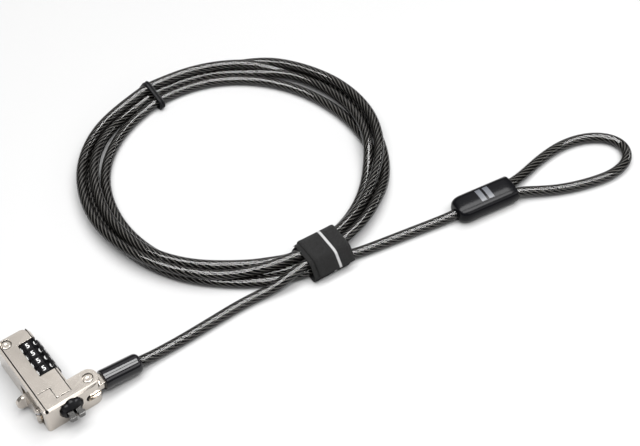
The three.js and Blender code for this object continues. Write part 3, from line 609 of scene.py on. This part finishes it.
def swept(name, points, section, twist_per_mm=0.0):
    """A closed tube whose section is a list of (angle, radius) round each point."""
    vertices = []
    faces = []
    uvs = []
    count = len(section)
    walked = [0.0]
    for a, b in zip(points, points[1:]):
        walked.append(walked[-1] + (b - a).length)
    for (point, side, up), distance in zip(frames_along(points), walked):
        turn = distance * twist_per_mm
        for angle, radius in section:
            offset = side * math.cos(angle + turn) + up * math.sin(angle + turn)
            vertices.append(at(*(point + offset * radius)))
    for ring in range(len(points) - 1):
        for k in range(count):
            after = (k + 1) % count
            a = ring * count
            b = a + count
            faces.append((a + k, a + after, b + after, b + k))
            low, high = walked[ring], walked[ring + 1]
            u0, u1 = k / count, (k + 1) / count
            uvs.append(((u0, low), (u1, low), (u1, high), (u0, high)))
    faces.append(tuple(reversed(range(count))))
    uvs.append(tuple((0.0, 0.0) for _ in range(count)))
    last = (len(points) - 1) * count
    faces.append(tuple(range(last, last + count)))
    uvs.append(tuple((0.0, 0.0) for _ in range(count)))
    return mesh_from(name, vertices, faces, uvs)


def circle(radius, sides):
    return [(2 * math.pi * k / sides, radius) for k in range(sides)]


def rope_section():
    """Once round the rope: reach is the strands' distance from its middle."""
    reach, strand, steps = 1.36, 0.6, 7
    section = []
    for k in range(ROPE_STRANDS * steps):
        angle = 2 * math.pi * k / (ROPE_STRANDS * steps)
        off = (k % steps) / steps - 0.5
        off *= 2 * math.pi / ROPE_STRANDS
        radius = reach * math.cos(off) + math.sqrt(strand ** 2 - (reach * math.sin(off)) ** 2)
        section.append((angle, radius))
    return section


def make_cable(mats):
    route = eased(catmull_rom(cable_route(), 0.8), BEND_ROUNDING)
    rope = new_object(
        "steel_rope", swept("steel_rope", route, rope_section(), 2 * math.pi / ROPE_LAY),
        "cable", mats["rope"])
    coarse = evenly(route, 2.2)
    jacket = new_object(
        "cable_jacket", swept("cable_jacket", evenly(route, 1.2), circle(CABLE / 2, 28)),
        "cable", mats["jacket"],
        ["cable_lock_tail", "cable_coil", "cable_loop_tail", "cable_end_loop"])
    return jacket, rope, [at(*p) for p in coarse]


# ---- sleeves, strap and tie -----------------------------------------------------------------


def ring_faces(rings, sides):
    """The skin over rings of points that follow each other, closed at both ends."""
    faces = []
    for ring in range(rings - 1):
        for k in range(sides):
            after = (k + 1) % sides
            a, b = ring * sides, (ring + 1) * sides
            faces.append((a + k, b + k, b + after, a + after))
    faces.append(tuple(range(sides)))
    last = (rings - 1) * sides
    faces.append(tuple(reversed(range(last, last + sides))))
    return faces


def make_cable_sleeve(mats):
    """A glossy round sleeve with a softly rounded far end, tilted down to the surface."""
    r = SLEEVE_RADIUS
    length = SLEEVE_LENGTH
    profile = [(2.7, 0.35), (2.7, 0.0), (r - 0.35, 0.0), (r - 0.1, 0.1), (r, 0.35)]
    profile += [(r, 0.35 + (length - 2.0 - 0.35) * k / 6) for k in range(1, 7)]
    for k in range(1, 9):
        a = math.pi / 2 * k / 8
        profile.append((r - 1.25 * (1 - math.cos(a)), length - 2.0 + 2.0 * math.sin(a)))
    profile += [(CABLE / 2 + 0.12, length), (CABLE / 2 + 0.05, length - 0.5)]
    sides = 64
    vertices = []
    tilt = math.radians(SLEEVE_TILT)
    for radius, along in profile:
        for k in range(sides):
            a = 2 * math.pi * k / sides
            y, z = radius * math.cos(a), radius * math.sin(a)
            vertices.append(at(
                SLEEVE_START[0] + along * math.cos(tilt) + z * math.sin(tilt),
                SLEEVE_START[1] + y,
                SLEEVE_START[2] - along * math.sin(tilt) + z * math.cos(tilt)))
    faces = ring_faces(len(profile), sides)
    mesh = mesh_from("sleeve_shell", vertices, faces, sharp=50)
    new_object("sleeve_shell", mesh, "cable", mats["gloss"], ["cable_sleeve"])


def make_loop_sleeve(mats):
    """An oval sleeve: rounded and narrower where the cable goes in, cut flat at the loop."""
    half_width, half_height = LOOP_SLEEVE_HALF
    length = LOOP_SLEEVE_LENGTH
    stations = []
    for k in range(13):
        t = k / 12
        a = math.pi / 2 * t
        stations.append((
            5.5 * (1 - math.cos(a)) * 0.9,
            2.5 + (half_width - 2.5) * math.sin(a) ** 0.85,
            2.35 + (half_height - 2.35) * math.sin(a) ** 0.8))
    stations += [(length * f, half_width, half_height) for f in (0.35, 0.6, 0.85)]
    stations += [
        (length - 0.4, half_width, half_height),
        (length - 0.12, half_width - 0.1, half_height - 0.1),
        (length, half_width - 0.38, half_height - 0.38),
    ]
    sides = 72
    power = 2 / SLEEVE_SQUARENESS
    vertices = []
    for along, wide, high in stations:
        for k in range(sides):
            a = 2 * math.pi * k / sides
            c, s = math.cos(a), math.sin(a)
            across = wide * math.copysign(abs(c) ** power, c)
            z = LOOP_SLEEVE_Z + high * math.copysign(abs(s) ** power, s)
            vertices.append(at(*in_loop_sleeve(along, across, z)))
    faces = ring_faces(len(stations), sides)
    mesh = mesh_from("loop_sleeve_shell", vertices, faces, sharp=50)
    return new_object(
        "loop_sleeve_shell", mesh, "cable", mats["moulded"],
        ["loop_sleeve", "loop_ferrule"])


def make_sleeve_print(mats):
    """Two plain pale bars printed across the loop sleeve's top."""
    half_width, half_height = LOOP_SLEEVE_HALF
    power = 2 / SLEEVE_SQUARENESS
    steps = 16
    vertices = []
    faces = []
    for start, end in ((11.0, 13.4), (14.6, 17.0)):
        first = len(vertices)
        for k in range(steps + 1):
            a = math.radians(62 + 50 * k / steps)
            c, s = math.cos(a), math.sin(a)
            across = (half_width + 0.03) * math.copysign(abs(c) ** power, c)
            z = LOOP_SLEEVE_Z + (half_height + 0.03) * abs(s) ** power
            vertices += [at(*in_loop_sleeve(start, across, z)), at(*in_loop_sleeve(end, across, z))]
        for k in range(steps):
            a = first + 2 * k
            faces.append((a, a + 1, a + 3, a + 2))
    mesh = mesh_from("sleeve_print", vertices, faces)
    return new_object("sleeve_print", mesh, "cable", mats["print"])


def hull_round(circles, steps=96):
    """The tight line round a set of (y, z, radius) circles, once round from the bottom."""
    line = []
    for k in range(steps):
        a = -math.pi / 2 + 2 * math.pi * k / steps
        c, s = math.cos(a), math.sin(a)
        y, z, r = max(circles, key=lambda item: item[0] * c + item[1] * s + item[2])
        point = Vector((y + r * c, z + r * s, 0.0))
        if line and (point - line[-1]).length > 0.5:
            parts = int((point - line[-1]).length / 0.5) + 1
            line += [line[-1].lerp(point, i / parts) for i in range(1, parts)]
        line.append(point)
    return line


def outward(line, k, closed):
    before = line[(k - 1) % len(line)] if closed else line[max(k - 1, 0)]
    after = line[(k + 1) % len(line)] if closed else line[min(k + 1, len(line) - 1)]
    ahead = (after - before).normalized()
    return Vector((ahead.y, -ahead.x, 0.0))


def ribbon(name, line, profile, place, closed):
    """A band along line: profile lists (x along the cable, height off the line) once round."""
    vertices = []
    faces = []
    uvs = []
    count = len(profile)
    walked = 0.0
    distances = []
    for k, point in enumerate(line):
        if k:
            walked += (point - line[k - 1]).length
        distances.append(walked)
        off = outward(line, k, closed)
        drift = point.z
        for x, height in profile:
            y, z = point.x + off.x * height, point.y + off.y * height
            vertices.append(place(x + drift, y, z))
    rings = len(line)
    for ring in range(rings if closed else rings - 1):
        a, b = ring * count, ((ring + 1) % rings) * count
        v0, v1 = distances[ring], distances[ring + 1] if ring + 1 < rings else walked + 0.5
        for k in range(count):
            after = (k + 1) % count
            faces.append((a + k, a + after, b + after, b + k))
            u0, u1 = profile[k][0], profile[after][0]
            uvs.append(((u0, v0), (u1, v0), (u1, v1), (u0, v1)))
    if not closed:
        faces.append(tuple(reversed(range(count))))
        faces.append(tuple(range((rings - 1) * count, rings * count)))
        uvs += [tuple((0.0, 0.0) for _ in range(count))] * 2
    return mesh_from(name, vertices, faces, uvs, 50)


def tape_profile(half, thickness, columns=24):
    """A woven tape's section: thicker selvedges and thin rounded sides."""
    top = []
    for k in range(columns + 1):
        x = -half + 2 * half * k / columns
        edge = half - abs(x)
        rise = 0.06 if 0.5 < edge < 1.4 else 0.0
        top.append((x, thickness / 2 * (0.55 if edge < 0.01 else 1.0) + rise))
    return [(x, h) for x, h in top] + [(x, -h) for x, h in reversed(top)]


def make_strap(mats):
    """A hook-and-loop tape once round the bundle and again over its top."""
    turn = math.radians(STRAP_TURN)

    def place(x, y, z):
        return at(
            STRAP_AT[0] + x * math.cos(turn) - y * math.sin(turn),
            STRAP_AT[1] + x * math.sin(turn) + y * math.cos(turn), z)

    inner = hull_round([
        (y, z, 2.6) for y, z in ((-7.2, 2.98), (5.4, 2.98), (-4.6, 6.4), (3.9, 6.4))])
    outer = hull_round([
        (y, z, 3.25) for y, z in ((-7.4, 3.25), (5.5, 3.25), (-4.8, 6.6), (4.1, 6.6))])
    start = int(len(inner) * 0.3)
    first = inner[start:] + inner[:start]
    for k, point in enumerate(first):
        point.z = -1.7 + 1.9 * max(0.0, k / len(first) - 0.85) / 0.15
    start = int(len(outer) * 0.3)
    second = [p.copy() for p in (outer[start:] + outer[:start])[: int(len(outer) * 0.5)]]
    for k, point in enumerate(second):
        point.z = 0.2 + 0.2 * k / len(second)
    line = first + second[3:]
    line = eased(line, 3)
    profile = tape_profile(STRAP_WIDTH / 2, STRAP_THICKNESS)
    mesh = ribbon("strap_tape", line, profile, place, False)
    strap = new_object("strap_tape", mesh, "cable", mats["fabric"], ["hook_strap"])
    length = sum((b - a).length for a, b in zip(line, line[1:]))


def make_tie(mats):
    """A thin rubber tie with two ridges, tight round the bundle."""
    a = math.radians(TIE_ANGLE)
    centre = Vector((
        COIL_CENTRE[0] + TIE_REACH * math.cos(a), COIL_CENTRE[1] + TIE_REACH * math.sin(a)))
    turn = math.radians(TIE_ANGLE - 90)

    def place(x, y, z):
        return at(
            centre.x + x * math.cos(turn) - y * math.sin(turn),
            centre.y + x * math.sin(turn) + y * math.cos(turn), z)

    r = CABLE / 2 + 0.35
    line = hull_round([
        (-5.6, LOWEST_TURN, r), (0, LOWEST_TURN, r), (3.9, LOWEST_TURN, r), (1.5, 6.8, r)])
    profile = [
        (-1.2, -0.3), (-1.2, 0.3), (-0.95, 0.6), (-0.55, 0.6), (-0.25, 0.15), (0.0, 0.0),
        (0.25, 0.15), (0.55, 0.6), (0.95, 0.6), (1.2, 0.3), (1.2, -0.3), (0.0, -0.3),
    ]
    mesh = ribbon("tie_band", line, profile, place, True)
    new_object("tie_band", mesh, "cable", mats["rubber"], ["coil_tie"])


# ---- the lock head --------------------------------------------------------------------------


def make_collar(mats):
    """A rubber collar: eight soft lobes round its rim and a domed face with the claws' slot."""
    stations = [
        (0.5, 4.35, 0.3), (0.3, 4.6, 0.5), (-0.5, 4.66, 0.56), (-0.95, 4.55, 0.54),
        (-1.2, 4.25, 0.42), (-1.35, 3.85, 0.2), (-1.5, 3.6, 0.06), (-1.75, 3.2, 0.0),
        (-2.0, 2.6, 0.0), (-2.15, 1.9, 0.0), (-2.22, 1.1, 0.0), (-2.25, 0.4, 0.0),
    ]
    sides = 96
    vertices = []
    for y, radius, lobe in stations:
        for k in range(sides):
            a = 2 * math.pi * k / sides
            r = radius - lobe * (0.5 - 0.5 * math.cos(COLLAR_LOBES * a)) ** 2
            vertices.append(at(AXIS_X + r * math.cos(a), y, AXIS_Z + r * math.sin(a)))
    faces = []
    for ring in range(len(stations) - 1):
        for k in range(sides):
            after = (k + 1) % sides
            a, b = ring * sides, (ring + 1) * sides
            faces.append((a + k, a + after, b + after, b + k))
    faces.append(tuple(reversed(range(sides))))
    last = (len(stations) - 1) * sides
    faces.append(tuple(range(last, last + sides)))
    obj = bpy.data.objects.new("work", mesh_from("nose_collar", vertices, faces))
    bpy.context.collection.objects.link(obj)
    cutter = block("cutter", (AXIS_X - 3.05, AXIS_X + 3.05), (-4, 2), (AXIS_Z - 1.5, AXIS_Z + 1.5))
    cut = obj.modifiers.new("slot", "BOOLEAN")
    cut.object = cutter
    cut.solver = "EXACT"
    mesh = modified(obj)
    bpy.data.objects.remove(obj)
    bpy.data.objects.remove(cutter)
    mesh.shade_smooth()
    mesh.set_sharp_from_angle(angle=math.radians(45))
    new_object("nose_collar", mesh, "head", mats["rubber"], ["rubber_collar"])


def block(name, xs, ys, zs):
    corners = [at(x, y, z) for x in xs for y in ys for z in zs]
    faces = [(0, 1, 3, 2), (4, 6, 7, 5), (0, 4, 5, 1), (2, 3, 7, 6), (0, 2, 6, 4), (1, 5, 7, 3)]
    mesh = bpy.data.meshes.new(name)
    mesh.from_pydata([tuple(c) for c in corners], [], faces)
    obj = bpy.data.objects.new(name, mesh)
    bpy.context.collection.objects.link(obj)
    return obj


def digit_mesh(text):
    curve = bpy.data.curves.new("digit", "FONT")
    curve.body = text
    curve.size = DIGIT_SIZE * MM
    curve.extrude = 0.03 * MM
    curve.offset = 0.055 * MM
    curve.align_x = "CENTER"
    curve.align_y = "CENTER"
    curve.resolution_u = 6
    obj = bpy.data.objects.new("digit", curve)
    bpy.context.collection.objects.link(obj)
    graph = bpy.context.evaluated_depsgraph_get()
    mesh = bpy.data.meshes.new_from_object(obj.evaluated_get(graph))
    bpy.data.objects.remove(obj)
    return mesh


def make_gaskets(mats):
    """Black pieces that paint shade where it falls: strips in the grooves beside the cover, a plug
    at the left one's front end, and a pad at the blind end of the swivel slot. The right strip
    isn't cut at the wheel window, so it passes through the wheels."""
    # painted shade: black strips in the grooves and a pad at the slot's blind end
    spans = {
        "left_groove_shade": ((0.06, 0.49), (1.1, 37.6), (10.7, 12.66)),
        "right_groove_shade": ((11.92, 12.18), (3.2, 37.3), (10.7, 12.6)),
        "slot_shade": ((15.9, 16.8), (0.5, 7.3), (4.3, 8.1)),
    }
    for name, span in spans.items():
        strip = block(name, *span)
        mesh = strip.data
        bpy.data.objects.remove(strip)
        new_object(name, mesh, "head", mats["painted_shade"])
    sides = 20
    lean = math.sqrt(0.5)
    vertices = []
    for height in (-0.6, 0.03):
        for k in range(sides):
            a = 2 * math.pi * k / sides
            up = PLUG_RADIUS * math.sin(a)
            vertices.append(at(
                0.3 + PLUG_RADIUS * math.cos(a), 0.42 + (up - height) * lean,
                12.27 + (up + height) * lean))
    faces = [(k, (k + 1) % sides, sides + (k + 1) % sides, sides + k) for k in range(sides)]
    faces += [tuple(reversed(range(sides))), tuple(range(sides, 2 * sides))]
    mesh = mesh_from("groove_end_shade", vertices, faces, sharp=50)
    new_object("groove_end_shade", mesh, "head", mats["painted_shade"])


def make_wheels(mats):
    glyphs = [digit_mesh(str(d)) for d in range(10)]
    for index, y in enumerate(WHEEL_CENTRES):
        name = f"wheel_{index + 1}"
        refined(
            f"dial_{index + 1}", f"number_{name}", name, mats["wheel"], 0.14)
        bm = bmesh.new()
        for k in range(10):
            a = math.radians(FIRST_FLAT + 36 * k)
            out = Vector((math.cos(a), 0, math.sin(a)))
            right = Vector((math.sin(a), 0, -math.cos(a)))
            up = Vector((0, 1, 0))
            spot = at(WHEEL_X, y, WHEEL_Z) + out * (WHEEL_FLAT + 0.01) * MM
            turn = Matrix((
                (right.x, up.x, out.x, spot.x), (right.y, up.y, out.y, spot.y),
                (right.z, up.z, out.z, spot.z), (0, 0, 0, 1)))
            glyph = glyphs[(TOP_DIGIT - k) % 10].copy()
            glyph.transform(turn)
            bm.from_mesh(glyph)
        mesh = bpy.data.meshes.new(f"digits_{index + 1}")
        bm.to_mesh(mesh)
        bm.free()
        new_object(f"digits_{index + 1}", mesh, name, mats["digit"])


def make_head(mats):
    nickel, steel = mats["nickel"], mats["steel"]
    refined("housing_shell", "main_housing", "head", nickel, 0.16)
    refined("cover_plate", "top_cover", "head", nickel, 0.08)
    refined("cover_rivet", "cover_pin", "head", nickel, 0.2)
    refined("pivot_rivet", "pivot_pin", "head", nickel, 0.2)
    refined("lever_plate", "release_lever", "lever", nickel, 0.22)
    refined("lever_rivet", "lever_pin", "head", nickel, 0.12)
    refined("tongue", "swivel_tongue", "cable", nickel, 0.2)
    refined("left_claw_blade", "claw_left", "left_claw", mats["claw"], 0.12)
    refined("right_claw_blade", "claw_right", "right_claw", mats["claw"], 0.12)
    make_collar(mats)
    make_gaskets(mats)
    make_wheels(mats)
    for node in ("nose_barrel", "claw_pin_left", "claw_pin_right", "claw_slide", "spindle",
                 "rope_end"):
        dress(node, steel)
    for node in ("spindle_spring", "lever_spring", "detent_spring"):
        dress(node, mats["spring"])
    for index in range(4):
        dress(f"wheel_hub_{index + 1}", mats["brass"])


# ---- stage ----------------------------------------------------------------------------------


def area_light(name, location, target, size, power):
    data = bpy.data.lights.new(name, "AREA")
    data.shape = "RECTANGLE"
    data.size, data.size_y = size
    data.energy = power
    obj = bpy.data.objects.new(name, data)
    bpy.context.collection.objects.link(obj)
    obj.location = location
    down = (Vector(target) - Vector(location)).normalized()
    across = Vector((1.0, 0.0, 0.0))
    across = (across - down * across.dot(down)).normalized()
    axes = Matrix((across, down.cross(across) * -1, down * -1)).transposed()
    obj.rotation_euler = axes.to_euler()


def make_stage(mats):
    mesh = bpy.data.meshes.new("floor")
    reach = 6.0
    mesh.from_pydata(
        [(-reach, -reach, 0), (reach, -reach, 0), (reach, reach, 0), (-reach, reach, 0)], [],
        [(0, 1, 2, 3)])
    floor = bpy.data.objects.new("floor", mesh)
    bpy.context.collection.objects.link(floor)
    floor.location.z = -0.00005
    mesh.materials.append(mats["floor"])
    middle = Vector((0.11, 0.02, 0.0))
    area_light("back_box", middle + Vector((0.0, 0.12, 0.9)), middle, (1.3, 0.4), 22.5)
    area_light("front_box", middle + Vector((0.0, -0.37, 0.9)), middle, (1.3, 0.4), 22.0)
    area_light("panel", middle + Vector((0.45, 0.75, 0.85)), middle, (1.0, 0.6), 1.3)
    area_light("front_panel", middle + Vector((0.4, -0.95, 0.62)), middle, (1.2, 0.4), 3.2)
    area_light("side_strip", middle + Vector((0.9, -0.1, 0.4)), middle, (0.1, 0.5), 1.0)
    world = bpy.data.worlds.new("studio")
    world.use_nodes = True
    background = world.node_tree.nodes["Background"]
    background.inputs["Color"].default_value = (1.0, 1.0, 1.0, 1.0)
    background.inputs["Strength"].default_value = 0.12
    scene = bpy.context.scene
    scene.world = world
    scene.view_settings.view_transform = "Standard"


# ---- assembly -------------------------------------------------------------------------------

place_camera()
materials = make_materials()
cable, rope, cable_path = make_cable(materials)
loop_shell = make_loop_sleeve(materials)
loop_print = make_sleeve_print(materials)
[tuple(p) for p in cable_path]
make_cable_sleeve(materials)
make_strap(materials)
make_tie(materials)
make_head(materials)
make_stage(materials)
